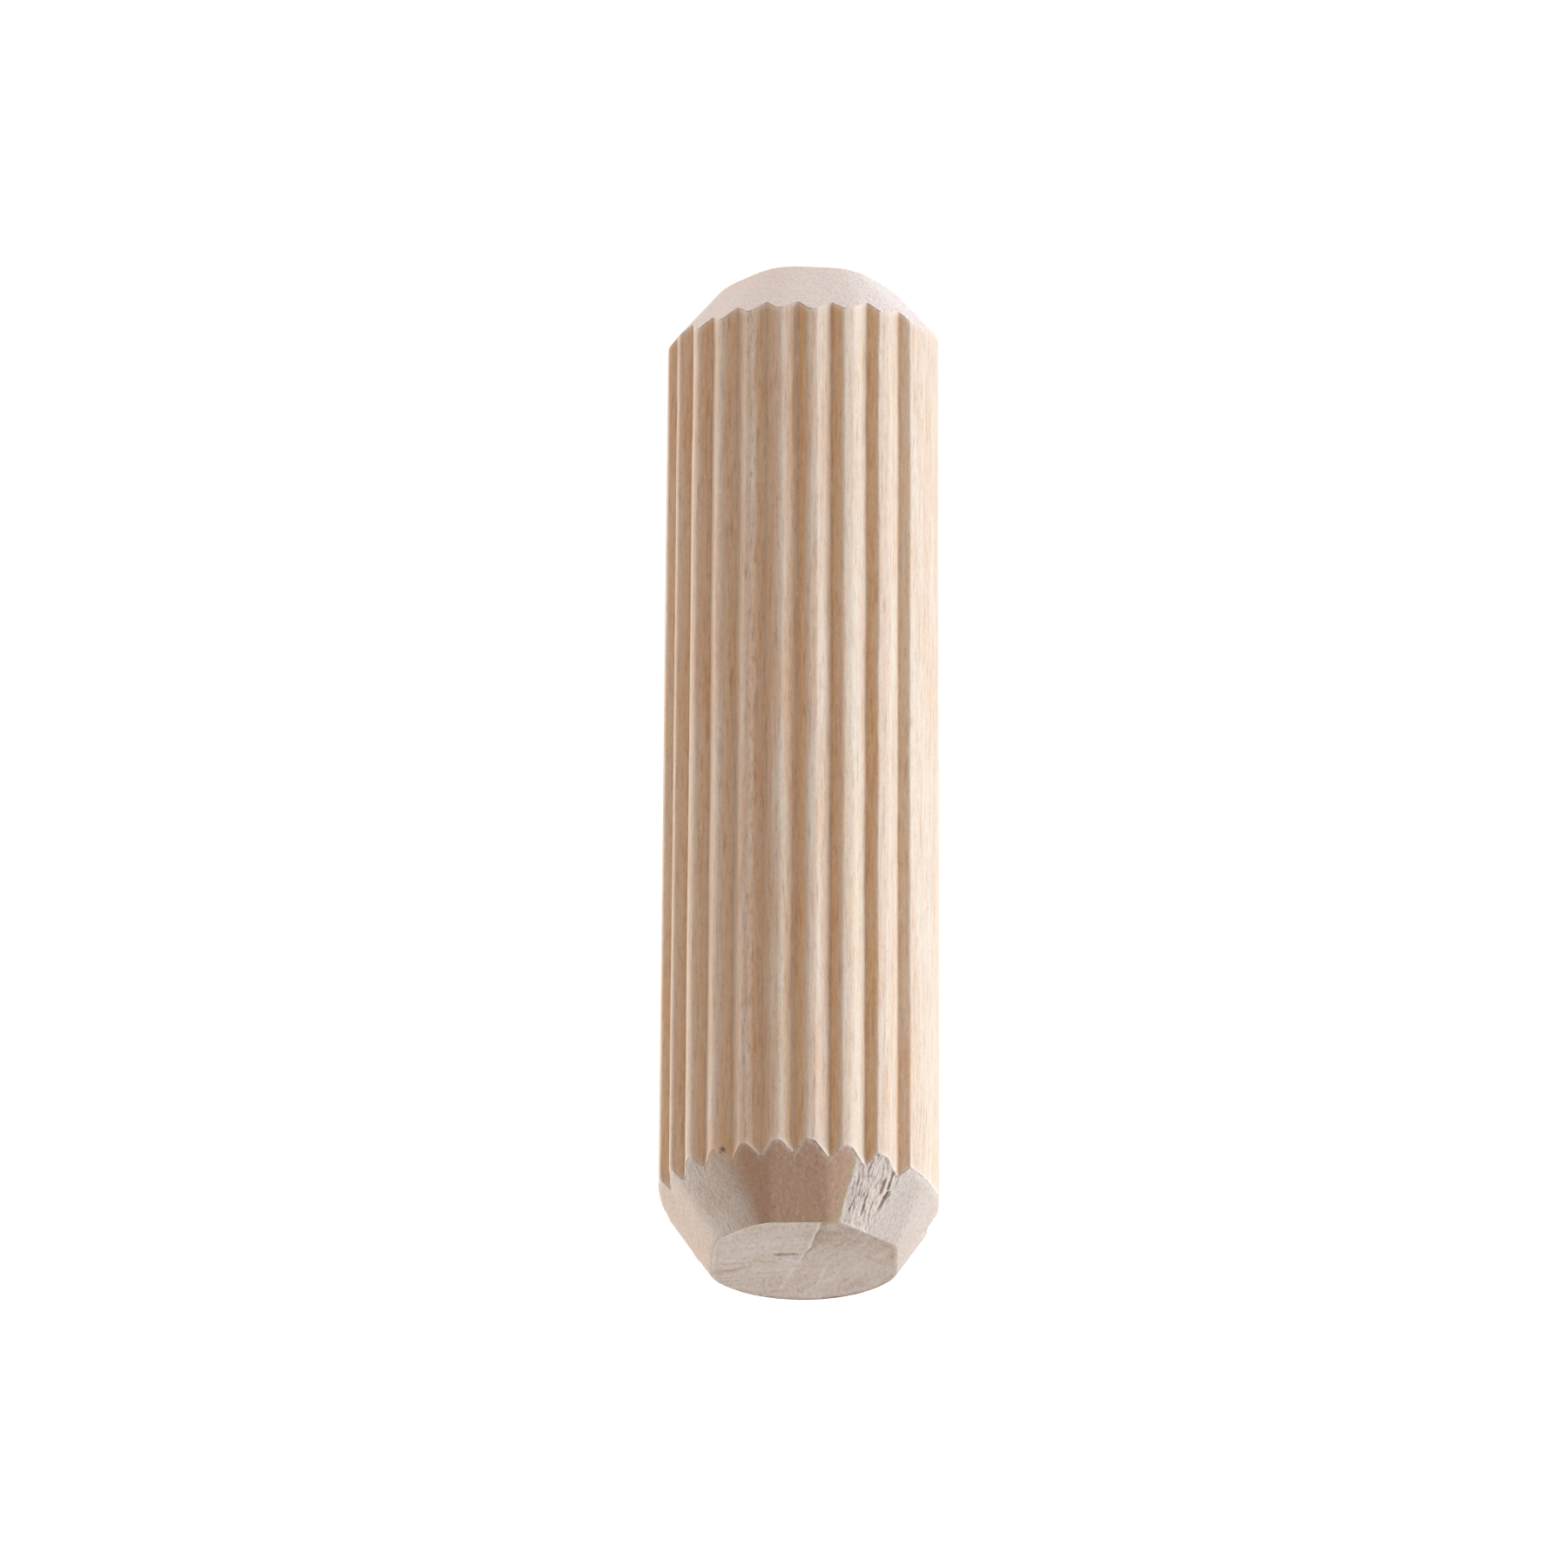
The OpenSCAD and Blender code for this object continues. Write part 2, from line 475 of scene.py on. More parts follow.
def torn_relief(grid, down, from_edge, end, relief):
    """Depth, mask and crack field of the torn stroke. Cracks lie where a noise drawn out down the
    slope crosses zero, leaning over towards the next stroke, and its positive side stands up as
    torn fibres. A few longer cracks with a raised lip end the torn part. The crack field darkens
    all these cracks as painted shade."""
    azimuth = end.flat_azimuths[1]
    across = (grid[..., 0] * math.cos(azimuth) + grid[..., 1] * math.sin(azimuth)) / MM
    down, from_edge = down / MM, from_edge / MM
    fibre_width, fibre_length = relief.torn_width / MM, relief.torn_length / MM
    own = np.arctan2(grid[..., 0], -grid[..., 1])
    first, last = meeting_azimuth(end, 0), meeting_azimuth(end, 1)
    on_stroke = between(own, first, first + math.radians(8), last - math.radians(0.8), last)
    torn = smooth_step(across, -0.3, -0.05)
    mask = on_stroke * torn * smooth_step(down, 0, 0.1) * smooth_step(from_edge, 0, 0.08)

    bend = 0.045 * flat_noise(across / 0.16, down / 0.2, seed=21, layers=2)
    lean = 0.2 + 0.25 * np.clip(1 - across / 1.5, 0, 1)
    aside = (across + bend - lean * (down - 1)) / fibre_width
    fibre = flat_noise(aside, down / fibre_length, seed=22, layers=2)
    broken = flat_noise(aside / 1.6, down / (0.8 * fibre_length), seed=23, layers=2)
    cracks = np.clip(1 - np.abs(fibre) / 0.25, 0, 1) * smooth_step(broken, -0.25, 0.15)
    depth = relief.torn * mask * (0.8 * cracks - 0.7 * fibre + 0.3)
    cracks = 0.45 * cracks * mask
    for start, stop, width, dark in TORN_CRACKS:
        line = along_segment(across + bend, down, start, stop, width)
        beside = along_segment(across + bend + 1.5 * width, down, start, stop, width)
        line = line * (0.55 + 0.45 * np.clip(0.5 + broken, 0, 1))
        depth = depth + relief.crack * dark * line - relief.lip * beside
        cracks = np.maximum(cracks, dark * line)
    return depth, on_stroke * (0.25 + 0.75 * torn), np.clip(cracks, 0, 1)


def face_relief(grid, relief):
    """Depth, crack, light and stain fields of the head's face. A torn step with a pale lip parts
    two areas of saw marks, which are noise drawn out along two directions. The wood past the step
    is stained, and a short crack and a few scratches lie beside it. The crack field is painted
    shade at the foot of the step, in the crack and in the troughs of the saw marks and rings, and
    the light field holds a painted highlight on the saw marks' ridges."""
    x, y = grid[..., 0] / MM, grid[..., 1] / MM
    bend = 0.06 * flat_noise(x / 0.25, y / 0.4, seed=32)
    past = np.interp(y, *STEP_LINE) - x + bend
    beyond = smooth_step(past, -0.1, 0.1)
    saw = 0
    for turn, share, seed in ((30, beyond, 31), (78, 1 - beyond, 33)):
        turn = math.radians(turn)
        along = (x + bend) * math.sin(turn) + y * math.cos(turn)
        across = (x + bend) * math.cos(turn) - y * math.sin(turn)
        saw = saw + share * flat_noise(across / 0.13, along / 1.1, seed=seed)
    near = smooth_step(-0.2 - y, 0, 0.9) * beyond
    rings = flat_noise(x / 0.8, (y + 0.25 * x + bend) / 0.16, seed=35, layers=2)
    fading = smooth_step(0.75 - y, 0, 0.5)
    step = smooth_step(past, -0.01, 0.05) * (1 - 0.8 * smooth_step(past, 0.1, 1.4)) * fading
    lip = bell(past + 0.03, 0.05) * fading

    depth = relief.saw * (0.5 - 0.5 * saw + 0.5 * near * rings) + relief.step * (1 + step)
    depth = depth - relief.lip * lip
    # Painted shade at the foot of the step, in the short crack and in the troughs of the saw marks
    # and rings.
    crack = 0.3 * bell(past - 0.07, 0.06) * fading + 0.25 * bell(x + 0.62, 0.22) * bell(y + 1, 0.4)
    crack = crack + 0.38 * np.clip(-1.6 * saw - 0.3, 0, 1)
    crack = crack + 0.32 * near * np.clip(1.5 * rings, 0, 1)
    # Pale lip of raised fibres, and painted highlight on the saw marks' ridges.
    pale = 0.9 * lip + 0.45 * np.clip(1.6 * saw - 0.25, 0, 1)
    for start, stop, width, dark in FACE_MARKS:
        line = along_segment(x, y + bend, start, stop, width)
        if dark > 0:
            depth = depth + relief.crack * dark ** 3 * line
            crack = crack + dark * line
        else:
            depth = depth + relief.lip * dark * line
            pale = pale - dark * line
    stain = smooth_step(past, 0, 0.06) * (0.35 + 0.65 * smooth_step(0.6 - y, 0, 1.6))
    stain = np.maximum(stain, 0.5 * smooth_step(y, 0.7, 1.8))
    return depth, np.clip(crack, 0, 1), np.clip(pale, 0, 1), stain


def pin_rows(flutes, head, foot, columns, section):
    """The plain fluted pin as one grid of rows from the foot's middle to the head's, the slice of
    rows that each of its surfaces takes, and every point's distance from the rim of its end face
    and from the edge between its chamfer and the flutes."""
    rod = flutes.diameter / 2
    low = end_rows("foot", foot, flutes, columns, section)
    high = end_rows("head", head, flutes, columns, section)

    share = crowded(BODY_ROWS, 0.1, 0.1)[1:-1][:, None]
    z = low["edge"] + share * (high["edge"] - low["edge"])
    azimuth = wandered(columns, z, flutes)
    right, back = outward(azimuth)
    patch, patch_length = 0.7 * MM, 5 * MM
    uneven = 0.5 + 0.5 * layered_noise(
        right * rod / patch, back * rod / patch, z / patch_length, seed=5, layers=2)
    radius = section - flutes.swell * uneven * smooth_step(share, 0, 0.02)

    parts = {
        "foot_face": low["face"],
        "foot_chamfer": low["chamfer"],
        "sides": standing(azimuth, radius, z),
        "head_chamfer": high["chamfer"][::-1],
        "head_face": high["face"][::-1],
    }
    ends = np.cumsum([len(part) for part in parts.values()])
    rows = {name: slice(end - len(part), end) for (name, part), end in zip(parts.items(), ends)}
    grid = np.concatenate(list(parts.values()))

    from_rim = np.full(grid.shape[:2], rod)
    from_rim[rows["foot_face"]] = low["from_rim"]
    from_rim[rows["foot_chamfer"]] = low["down"]
    from_rim[rows["head_chamfer"]] = high["down"][::-1]
    from_rim[rows["head_face"]] = high["from_rim"][::-1]
    from_edge = np.full(grid.shape[:2], rod)
    from_edge[rows["foot_chamfer"]] = low["slope_length"] - low["down"]
    from_edge[rows["sides"]] = np.minimum(z - low["edge"], high["edge"] - z)
    from_edge[rows["head_chamfer"]] = (high["slope_length"] - high["down"])[::-1]
    return grid, rows, from_rim, from_edge


def pin_surface(flutes, head, foot, relief, marks):
    """The whole pin as one grid of rows from the foot's middle to the head's, with the middles and
    the fields that the wood follows. The marks are sunk into the plain rows along their normals."""
    columns = column_azimuths(COLUMNS, flutes, head.flat_azimuths[1])
    section = section_radius(columns, flutes)
    grid, rows, from_rim, from_edge = pin_rows(flutes, head, foot, columns, section)
    head_chamfer, head_face = rows["head_chamfer"], rows["head_face"]
    own = within_half_turn(columns)
    x, y, up = np.moveaxis(grid, -1, 0)
    fields = {name: np.zeros(grid.shape[:2]) for name in FIELDS}

    fields["end_grain"] += 1
    fields["end_grain"][rows["sides"]] = 0
    fields["face"][rows["foot_face"]] = fields["face"][head_face] = 1
    # The foot's chamfer, painted paler and cooler as painted light.
    fields["lit_foot_chamfer"][rows["foot_chamfer"]] = 1
    fields["fray"] = bell(from_edge, relief.chip_reach)

    splinters = lattice_noise(x / (0.07 * MM), y / (0.07 * MM), up / (0.22 * MM), seed=8)
    rough = 0.5 + 0.5 * layered_noise(
        x / (0.09 * MM), y / (0.09 * MM), up / (0.12 * MM), seed=7, layers=2)
    depth = relief.dressing + relief.grain * rough * fields["end_grain"]
    depth += relief.chip * fields["fray"] * np.clip(splinters + 0.1, 0, 1)

    fade = math.radians(15)
    crisp = between(own, marks.crisp[0] - fade, *marks.crisp, marks.crisp[1] + fade)
    worn = np.ones(grid.shape[:2])
    worn[rows["sides"].start:] -= 0.75 * crisp
    rim_width = relief.rim_round * worn
    depth += 0.22 * rim_width * np.clip(1 - from_rim / rim_width, 0, 1) ** 2

    torn_depth, fields["torn"][head_chamfer], fields["crack"][head_chamfer] = torn_relief(
        grid[head_chamfer], from_rim[head_chamfer], from_edge[head_chamfer], head, relief)
    depth[head_chamfer] += torn_depth
    face_depth, *face_fields = face_relief(grid[head_face], relief)
    depth[head_face] += face_depth * smooth_step(from_rim[head_face], 0, 0.12 * MM)
    for name, values in zip(("crack", "pale", "stain"), face_fields):
        fields[name][head_face] = values
    fields["pale"][head_face] += 0.5 * (
        1 - smooth_step(from_rim[head_face], 0.02 * MM, 0.1 * MM))

    fields["stain"][head_chamfer] = 0.8 * between(own, *marks.left_stain) + 0.5 * (
        1 - smooth_step(own, *marks.right_stain))
    # The head's front stroke: darker and more orange, partly its own colour and partly painted
    # shade.
    corner = meeting_azimuth(head, 1)
    fields["front_stroke_shade"][head_chamfer] = between(
        own, corner, corner + math.radians(0.8), *marks.front_stroke_shade)
    fields["band"][head_chamfer] = 1 - smooth_step(
        own - corner, math.radians(1.5), math.radians(5)) * smooth_step(
        from_rim[head_chamfer], 0.06 * MM, 0.24 * MM)

    # Painted shade on the flute walls: the steeper a wall, the more tan it is painted, less so over
    # some azimuths.
    turn_in = (np.roll(section, 1) - np.roll(section, -1)) / (
        (np.roll(columns, -1) - np.roll(columns, 1)) % TURN * section)
    shade_tint = 1 - 0.7 * bell(own - marks.unshaded_wall[0], marks.unshaded_wall[1], 4)
    shade_tint = shade_tint * (1 - 0.45 * smooth_step(own, *marks.shade_tint))
    fields["wall_shade"] += smooth_step(np.abs(turn_in), *SHADED_WALL_STEEPNESS) * shade_tint
    fields["flute"] += (flutes.diameter / 2 - section) / flutes.depth
    fields["scuff"] += bell(own - marks.scuff[0], marks.scuff[1])

    grid = grid - grid_normals(grid) * depth[..., None]
    return grid, grid[0].mean(0), grid[-1].mean(0), fields


def closed_mesh(name, grid, first, last, fields):
    """A mesh object from a grid that closes around, with a fan at either end around the points
    first and last, and one value of each field at every vertex."""
    rows, columns = grid.shape[:2]
    index = np.arange(rows * columns).reshape(rows, columns)
    beside = np.roll(index, -1, 1)
    quads = np.stack([index[:-1], beside[:-1], beside[1:], index[1:]], -1).reshape(-1, 4)
    start = np.full(columns, rows * columns)
    fans = np.concatenate([
        np.stack([start, beside[0], index[0]], -1),
        np.stack([index[-1], beside[-1], start + 1], -1),
    ])
    points = np.concatenate([grid.reshape(-1, 3), [first, last]])
    mesh = bpy.data.meshes.new(name)
    mesh.from_pydata(points.tolist(), [], quads.tolist() + fans.tolist())
    mesh.shade_smooth()
    for field, values in fields.items():
        ends = [values[0, 0], values[-1, 0]]
        attribute = mesh.attributes.new(field, "FLOAT", "POINT")
        values = np.concatenate([values.ravel(), ends])
        attribute.data.foreach_set("value", values.astype(np.float32))
    piece = bpy.data.objects.new(name, mesh)
    bpy.context.scene.collection.objects.link(piece)
    return piece


# ---------------------------------------------------------------- materials

class Wire:
    """An output socket in a material. Arithmetic on it adds Math nodes, so 1 - mask works."""

    def __init__(self, graph, socket):
        self.graph = graph
        self.socket = socket

    def __add__(self, other):
        return self.graph.math("ADD", self, other)

    def __sub__(self, other):
        return self.graph.math("SUBTRACT", self, other)

    def __rsub__(self, other):
        return self.graph.math("SUBTRACT", other, self)

    def __mul__(self, other):
        return self.graph.math("MULTIPLY", self, other)

    def __truediv__(self, other):
        return self.graph.math("DIVIDE", self, other)

    def __rtruediv__(self, other):
        return self.graph.math("DIVIDE", other, self)

    __radd__ = __add__
    __rmul__ = __mul__


class Graph:
    """The node tree of a material, and short ways to add to it."""

    def __init__(self, name):
        self.material = bpy.data.materials.new(name)
        self.material.use_nodes = True
        self.tree = self.material.node_tree
        self.tree.nodes.clear()

    def node(self, kind, settings=None, inputs=None, output=0):
        """Adds a node: its settings first, then its inputs by name or number. Returns a Wire on
        the output with that name or number."""
        node = self.tree.nodes.new(kind)
        for name, value in (settings or {}).items():
            setattr(node, name, value)
        for name, value in (inputs or {}).items():
            if isinstance(value, Wire):
                self.tree.links.new(value.socket, node.inputs[name])
            else:
                node.inputs[name].default_value = value
        return None if output is None else Wire(self, node.outputs[output])

    def math(self, operation, a, b, clamp=False):
        """A Math node on two values."""
        return self.node(
            "ShaderNodeMath", {"operation": operation, "use_clamp": clamp}, {0: a, 1: b})

    def field(self, name):
        """One of the mesh's own fields."""
        return self.node("ShaderNodeAttribute", {"attribute_name": name}, output="Fac")

    def ramp(self, value, low, high):
        """0 at low and 1 at high, with a smooth step between them."""
        return self.node(
            "ShaderNodeMapRange", {"interpolation_type": "SMOOTHSTEP"},
            {"Value": value, "From Min": low, "From Max": high})

    def mix(self, share, a, b):
        """A Mix node on two colours, whose inputs 6 and 7 and output 2 are the coloured ones."""
        colours = {
            6 + slot: value if isinstance(value, Wire) else (*value, 1)
            for slot, value in enumerate((a, b))}
        return self.node("ShaderNodeMix", {"data_type": "RGBA"}, {0: share, **colours}, output=2)

    def noise(self, place, per_mm, detail=2, roughness=0.5):
        """Noise in the object's own coordinates, with a number of patches per millimetre along
        X, Y and Z."""
        scaled = self.node(
            "ShaderNodeVectorMath", {"operation": "MULTIPLY"},
            {0: place, 1: [count / MM for count in per_mm]})
        return self.node(
            "ShaderNodeTexNoise", {},
            {"Vector": scaled, "Scale": 1, "Detail": detail, "Roughness": roughness}, output="Fac")


class WoodSettings(bpy.types.PropertyGroup):
    """Colours of the wood, and the strength of its grain. Some colours also serve as painted shade
    in the flutes, in the cracks and on the head's front stroke, and as painted light on the foot's
    chamfer.
    """

    pale: colour("Pale wood", "Lands and crests", (0.585, 0.486, 0.388))
    cream: colour("Cream wood", "Streaks in the lands, and broken fibres", (0.612, 0.537, 0.430))
    rose: colour("Rose wood", "Slow patches in the lands", (0.580, 0.445, 0.345))
    # Tan, with orange streaks: painted shade on the steep walls and deep in the flutes, and the
    # wood's own tan streaks; orange also rings the knot.
    tan: colour("Tan wood", "Flutes", (0.61, 0.41, 0.235))
    orange: colour("Orange wood", "Streaks in the tan", (0.590, 0.345, 0.165))
    # Dark: thin fibres and pores, and also painted shade at the flutes' bottoms and in the cracks.
    dark: colour("Dark fibre", "Thin fibres, pores and cracks", (0.231, 0.136, 0.082))
    end: colour("End grain", "Chamfers and faces", (0.592, 0.497, 0.435))
    end_tan: colour("End grain tan", "Patches in the end grain", (0.53, 0.415, 0.32))
    broken: colour("Broken fibres", "The torn stroke", (0.67, 0.532, 0.448))
    # Also the painted highlight on the saw marks' ridges.
    lip: colour("Raised fibres", "Pale lips, scratches and frayed edges", (0.72, 0.63, 0.545))
    # The head's front stroke and its rim: darker and more orange, partly own colour and partly
    # painted shade.
    front_stroke_shade: colour("Pressed end grain", "Where the cutter rubbed it", (0.545, 0.322, 0.212))
    front_stroke_shade_edge: colour("Pressed edge", "The rim of that stroke", (0.50, 0.33, 0.185))
    # Painted light: paler and cooler than the other end grain, offsetting the floor's warm glow.
    lit_foot_chamfer: colour("Foot chamfer", "The paler end grain around the foot", (0.645, 0.635, 0.625))
    stained: colour("Stained end grain", "The face past its torn step", (0.486, 0.380, 0.307))
    knot: colour("Knot", "The pin knot", (0.10, 0.05, 0.03))
    knot_place: lengths("Knot place", "Middle of the pin knot", (2.108, -3.041, 28.176))
    fibre_bump: number("Fibre bump", "Height of the fibres along the pin, in millimetres", 0.014)
    end_bump: number("End bump", "Height of the end grain's pores, in millimetres", 0.022)


def side_colour(graph, wood, field, grain):
    """Wood along the pin: pale lands with rose patches and cream streaks, tan streaks, and fine
    dark and cream fibres over both. Painted shade turns the steep flute walls and the flutes'
    depths tan with orange streaks, and darkens the flutes' bottoms."""
    bands, streaks = grain["bands"], grain["streaks"]
    fibres, dashes = grain["fibres"], grain["dashes"]
    flute, scuff = field["flute"], field["scuff"]
    lit = graph.mix(graph.ramp(bands, 0.43, 0.55), wood.pale, wood.rose)
    lit = graph.mix(graph.ramp(streaks, 0.46, 0.66) * 0.8, lit, wood.cream)
    # The painted shade's colour: tan with orange streaks.
    shade_tint = graph.mix(graph.ramp(fibres * 0.5 + bands * 0.5, 0.42, 0.6), wood.tan, wood.orange)
    # Share of painted shade on steep walls and deeper down the flutes, plus the wood's own tan
    # streaks and bands.
    tan = field["wall_shade"] * (graph.ramp(flute, 0.0, 0.6) * 0.35 + 0.45)
    tan = tan + graph.ramp(flute, 0.4, 1.0) * 0.25
    tan = tan + graph.ramp(streaks, 0.52, 0.36) * 0.35 + graph.ramp(bands, 0.5, 0.36) * 0.15
    side = graph.mix(graph.math("ADD", tan, field["fray"] * -0.5, clamp=True), lit, shade_tint)
    # Painted shade: darker towards each flute's bottom.
    side = graph.mix(graph.ramp(flute, 0.84, 1.0) * 0.3, side, wood.dark)
    side = graph.mix(graph.ramp(fibres, 0.52, 0.72) * 0.34, side, wood.dark)
    side = graph.mix(graph.ramp(dashes, 0.50, 0.72) * (scuff * 0.3 + 0.2), side, wood.dark)
    return graph.mix(graph.ramp(dashes, 0.46, 0.30) * (scuff * 0.4 + 0.5), side, wood.cream)


def end_speckle(graph, place, field):
    """Noise of the cut end grain: combed on the faces, and coarser on the foot's chamfer and the
    head's front stroke."""
    fine = graph.noise(place, (13, 13, 7), detail=3, roughness=0.65)
    combed = graph.noise(place, (11, 4, 4), detail=3, roughness=0.65)
    coarse = graph.noise(place, (8, 8, 6), detail=3, roughness=0.65)
    speckle = fine + (combed - fine) * field["face"]
    share = graph.math("ADD", field["lit_foot_chamfer"], field["front_stroke_shade"] * 0.7, clamp=True)
    return speckle + (coarse - speckle) * share


def end_colour(graph, wood, field, place, speckle):
    """Wood of the chamfers and faces: pale with tan patches, stained and torn where those fields
    say so, paler and cooler on the foot's chamfer as painted light, darker and more orange on the
    head's front stroke as its own colour and painted shade, and speckled dark and cream."""
    lit_foot_chamfer, front_stroke_shade = field["lit_foot_chamfer"], field["front_stroke_shade"]
    patches = graph.noise(place, (0.9, 0.9, 0.9), detail=3)
    end = graph.mix(graph.ramp(patches, 0.42, 0.66) * 0.7, wood.end, wood.end_tan)
    end = graph.mix(field["stain"], end, wood.stained)
    # Painted light on the foot's chamfer.
    end = graph.mix(lit_foot_chamfer * 0.85, end, wood.lit_foot_chamfer)
    # The front stroke's colour, partly painted shade.
    shade_tint = graph.mix(field["band"], wood.front_stroke_shade, wood.front_stroke_shade_edge)
    end = graph.mix(front_stroke_shade * (graph.ramp(speckle, 0.66, 0.5) * 0.25 + 0.75), end, shade_tint)
    end = graph.mix(field["torn"] * 0.8, end, wood.broken)
    dark_share = front_stroke_shade * 0.2 - lit_foot_chamfer * 0.1 + 0.28
    end = graph.mix(graph.ramp(speckle, 0.50, 0.70) * dark_share, end, wood.dark)
    end = graph.mix(graph.ramp(speckle, 0.50, 0.32) * (0.6 - front_stroke_shade * 0.3), end, wood.cream)
    return graph.mix(graph.ramp(speckle, 0.47, 0.36) * lit_foot_chamfer * 0.7, end, wood.lip)


def with_knot(graph, wood, surface, place, mottle):
    """The colour with a pin knot: a dark dot with a ragged border, in a wider orange halo."""
    away = graph.node(
        "ShaderNodeVectorMath", {"operation": "DISTANCE"},
        {0: place, 1: wood.knot_place}, output="Value") / MM
    ragged = away + (mottle - 0.5) * 0.12
    surface = graph.mix(graph.ramp(away, 1.1, 0.2) * 0.35, surface, wood.orange)
    return graph.mix(graph.ramp(ragged, 0.17, 0.06) * 0.9, surface, wood.knot)


def wood_material(wood):
    """Bare beech: fibres drawn out along the pin, a speckled end grain on the chamfers and faces,
    and a pin knot. Painted shade makes the flute walls and the flutes' bottoms deeper in colour and
    darkens the cracks, and painted highlight pales the saw marks' ridges on the head's face."""
    graph = Graph("bare_beech")
    place = graph.node("ShaderNodeTexCoord", output="Object")
    field = {name: graph.field(name) for name in FIELDS}
    grain = {
        "bands": graph.noise(place, (1.1, 1.1, 0.05)),
        "streaks": graph.noise(place, (6, 6, 0.25), detail=4, roughness=0.6),
        "fibres": graph.noise(place, (13, 13, 0.9), detail=3, roughness=0.65),
        "dashes": graph.noise(place, (10, 10, 2.2), detail=3, roughness=0.65),
    }
    mottle = graph.noise(place, (16, 16, 9), roughness=0.6)
    speckle = end_speckle(graph, place, field)

    surface = graph.mix(
        field["end_grain"], side_colour(graph, wood, field, grain),
        end_colour(graph, wood, field, place, speckle))
    surface = graph.mix(field["fray"] * graph.ramp(mottle, 0.36, 0.56) * 0.6, surface, wood.lip)
    # Pale raised fibres and scratches, and painted highlight on the saw marks' ridges.
    surface = graph.mix(field["pale"] * 0.7, surface, wood.lip)
    surface = graph.mix(graph.ramp(mottle, 0.48, 0.75) * 0.16, surface, wood.dark)
    # Painted shade in the cracks, at the foot of the torn step and in the troughs of the saw marks.
    surface = graph.mix(field["crack"] * 0.8, surface, wood.dark)
    surface = with_knot(graph, wood, surface, place, mottle)

    fibre_height = grain["fibres"] * 0.55 + grain["streaks"] * 0.3 + grain["dashes"] * 0.3
    fibre_height = fibre_height * (1 - field["end_grain"]) * wood.fibre_bump
    end_height = speckle * (field["end_grain"] + field["lit_foot_chamfer"] * 2) * wood.end_bump
    bump = graph.node(
        "ShaderNodeBump", {},
        {"Strength": 1, "Distance": MM, "Height": fibre_height + end_height}, output="Normal")
    shader = graph.node("ShaderNodeBsdfPrincipled", {}, {
        "Base Color": surface, "Roughness": mottle * 0.2 + 0.6, "Normal": bump, "IOR": 1.4})
    graph.node("ShaderNodeOutputMaterial", {}, {"Surface": shader}, output=None)
    return graph.material


# ---------------------------------------------------------------- the studio

SENSOR_WIDTH = 36  # of the camera, in millimetres


class StudioSettings(bpy.types.PropertyGroup):
    """The floor, the soft lights around the pin, and the camera."""

    floor_size: length("Floor", "Side of the square floor", 4)
    floor: colour("Floor colour", "The pale floor", (0.12, 0.12, 0.12))
    floor_glow: number("Floor glow", "Light that the lit floor gives back by itself", 1.18)
    glow_colour: colour("Glow colour", "The floor's own light", (1.0, 0.865, 0.815))
    world: number("Sky", "Strength of the even light from all around", 0.2)
    light_distance: length("Light distance", "From the pin's middle to each light", 0.25)
    light_size: length("Light size", "Side of each square light", 0.16)
    key: number("Key light", "Radiance of the light on the side of -X", 11.6)
    key_colour: colour("Key colour", "Cool light on the side of -X", (0.735, 0.865, 1.0))
    fill: number("Fill light", "Radiance of the light on the side of +X", 7.1)
    fill_colour: colour("Fill colour", "Neutral light on the side of +X", (0.98, 1.0, 1.0))
    top: number("Top light", "Radiance of the light above and behind", 4.3)
    top_colour: colour("Top colour", "Light from above and behind", (1.0, 0.9, 0.885))
    key_azimuth: angle("Key azimuth", "Azimuth of the key light", -80)
    fill_azimuth: angle("Fill azimuth", "Azimuth of the fill light", 119)
    low_rise: angle("Side light rise", "Of the key and fill lights, above the floor's plane", 12)
    top_rise: angle("Top light rise", "Of the top light, above the floor's plane", 50)
    camera_distance: length("Camera distance", "From the pin's middle", 281.54 * MM)
    camera_rise: angle("Camera rise", "Above the floor's plane", 25.4)
    camera_roll: angle("Camera roll", "About the line of sight, which turns the head down", 180.287)
    lens: number("Lens", "Focal length in millimetres, on a sensor of 36 mm", 228.8)
    shift_x: number("Shift X", "Sideways shift of the frame", -0.0108)
    shift_y: number("Shift Y", "Upward shift of the frame", -0.0124)


def facing(place, target, roll=0.0):
    """The matrix of a light or camera at a place that looks at the target, rolled about its own
    line of sight from upright."""
    back = (place - target).normalized()
    right = Vector((0, 0, 1)).cross(back).normalized()
    up = back.cross(right)
    turn = Matrix((right, up, back)).transposed().to_4x4()
    return Matrix.Translation(place) @ turn @ Matrix.Rotation(roll, 4, "Z")


def add_light(name, azimuth, rise, radiance, tint, studio, middle):
    """A square soft light at an azimuth and a rise above the floor's plane, turned to the pin.
    Its power is its radiance times its area times pi."""
    lamp = bpy.data.lights.new(name, "AREA")
    lamp.size = studio.light_size
    lamp.energy = radiance * studio.light_size ** 2 * math.pi
    lamp.color = tint
    holder = bpy.data.objects.new(name, lamp)
    bpy.context.scene.collection.objects.link(holder)
    x, y = outward(azimuth)
    way = Vector((x * math.cos(rise), y * math.cos(rise), math.sin(rise)))
    holder.matrix_world = facing(middle + way * studio.light_distance, middle)
    return holder


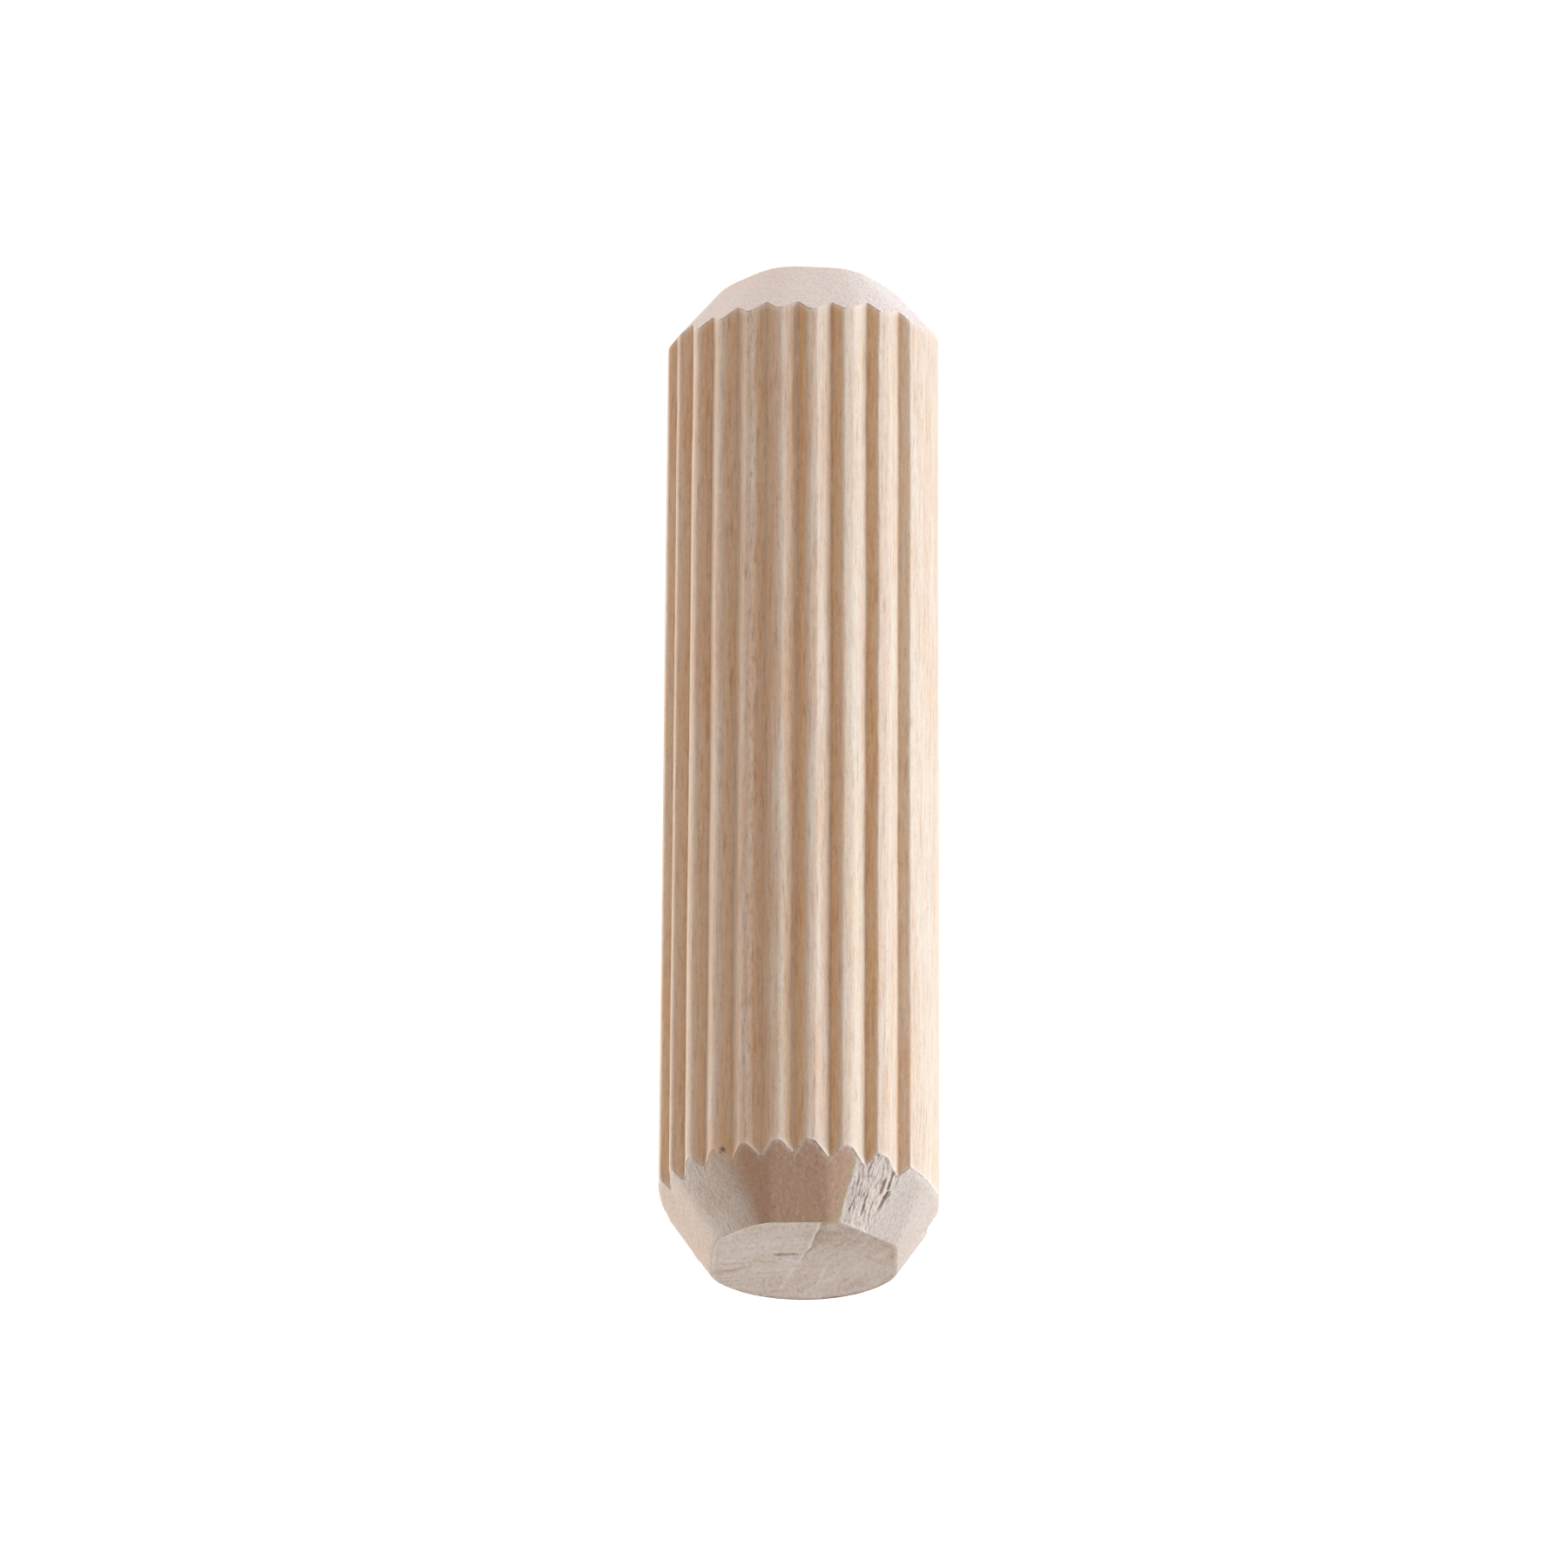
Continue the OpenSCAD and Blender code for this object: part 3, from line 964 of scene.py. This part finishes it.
def floor_material(studio):
    """A pale matt floor with a faint unevenness, which glows a little as a lit table does."""
    graph = Graph("pale_floor")
    place = graph.node("ShaderNodeTexCoord", output="Object")
    uneven = graph.noise(place, (0.02, 0.02, 0.02), detail=2)
    pale = [value * 0.97 for value in studio.floor]
    shade = graph.mix(uneven, pale, studio.floor)
    shader = graph.node("ShaderNodeBsdfPrincipled", {}, {
        "Base Color": shade, "Roughness": 0.9, "Specular IOR Level": 0.1,
        "Emission Color": (*studio.glow_colour, 1), "Emission Strength": studio.floor_glow})
    graph.node("ShaderNodeOutputMaterial", {}, {"Surface": shader}, output=None)
    return graph.material


# ---------------------------------------------------------------- operators and panel

class DOWEL_OT_pin(bpy.types.Operator):
    """Build the fluted dowel pin as one closed wooden piece"""

    bl_idname = "dowel.pin"
    bl_label = "Build the pin"

    def execute(self, context):
        scene = context.scene
        grid, first, last, fields = pin_surface(
            scene.dowel_flutes, scene.dowel_head, scene.dowel_foot, scene.dowel_relief,
            scene.dowel_marks)
        pin = closed_mesh("fluted_pin", grid, first, last, fields)
        pin.data.materials.append(wood_material(scene.dowel_wood))
        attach(pin, "root")
        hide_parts(NODE)
        return {"FINISHED"}


class DOWEL_OT_studio(bpy.types.Operator):
    """Lay the floor, hang the lights and set up the camera"""

    bl_idname = "dowel.studio"
    bl_label = "Set the studio"

    def execute(self, context):
        scene = context.scene
        studio = scene.dowel_studio
        middle = Vector((0, 0, (LOW.z + HIGH.z) / 2))

        half = studio.floor_size / 2
        sheet = bpy.data.meshes.new("floor")
        corners = ((-half, -half), (half, -half), (half, half), (-half, half))
        sheet.from_pydata([(x, y, LOW.z) for x, y in corners], [], [(0, 1, 2, 3)])
        floor = bpy.data.objects.new("floor", sheet)
        scene.collection.objects.link(floor)
        floor.data.materials.append(floor_material(studio))

        world = bpy.data.worlds.new("sky")
        world.use_nodes = True
        world.node_tree.nodes["Background"].inputs["Color"].default_value = (1, 1, 1, 1)
        world.node_tree.nodes["Background"].inputs["Strength"].default_value = studio.world
        scene.world = world
        low_rise = studio.low_rise
        for name, azimuth, rise, radiance, tint in (
                ("key_light", studio.key_azimuth, low_rise, studio.key, studio.key_colour),
                ("fill_light", studio.fill_azimuth, low_rise, studio.fill, studio.fill_colour),
                ("top_light", math.pi, studio.top_rise, studio.top, studio.top_colour)):
            add_light(name, azimuth, rise, radiance, tint, studio, middle)

        lens = bpy.data.cameras.new("camera")
        lens.sensor_width = SENSOR_WIDTH
        lens.lens = studio.lens
        lens.shift_x = studio.shift_x
        lens.shift_y = studio.shift_y
        lens.clip_start, lens.clip_end = 0.01, 2.5 * studio.floor_size
        camera = bpy.data.objects.new("camera", lens)
        scene.collection.objects.link(camera)
        level = math.cos(studio.camera_rise)
        place = middle + studio.camera_distance * Vector((0, -level, math.sin(studio.camera_rise)))
        camera.matrix_world = facing(place, middle, studio.camera_roll)
        scene.camera = camera
        scene.view_settings.view_transform = "Standard"
        return {"FINISHED"}


SETTINGS = {
    "dowel_flutes": FluteSettings,
    "dowel_head": HeadSettings,
    "dowel_foot": FootSettings,
    "dowel_relief": ReliefSettings,
    "dowel_marks": MarkSettings,
    "dowel_wood": WoodSettings,
    "dowel_studio": StudioSettings,
}


class DOWEL_PT_sidebar(bpy.types.Panel):
    """The pin's settings and its two steps"""

    bl_idname = "DOWEL_PT_sidebar"
    bl_label = "Dowel pin"
    bl_space_type = "VIEW_3D"
    bl_region_type = "UI"
    bl_category = "Dowel"

    def draw(self, context):
        layout = self.layout
        layout.operator(DOWEL_OT_pin.bl_idname)
        layout.operator(DOWEL_OT_studio.bl_idname)
        for name, group in SETTINGS.items():
            box = layout.box()
            box.label(text=group.__doc__)
            for value in group.__annotations__:
                box.prop(getattr(context.scene, name), value)


CLASSES = [*SETTINGS.values(), DOWEL_OT_pin, DOWEL_OT_studio, DOWEL_PT_sidebar]


def register():
    for entry in CLASSES:
        bpy.utils.register_class(entry)
    for name, group in SETTINGS.items():
        setattr(bpy.types.Scene, name, bpy.props.PointerProperty(type=group))


def unregister():
    for name in SETTINGS:
        delattr(bpy.types.Scene, name)
    for entry in reversed(CLASSES):
        bpy.utils.unregister_class(entry)


def main():
    """Registers the add-on and runs its operators in order."""
    register()
    bpy.ops.dowel.pin()
    bpy.ops.dowel.studio()


if __name__ == "__main__":
    main()
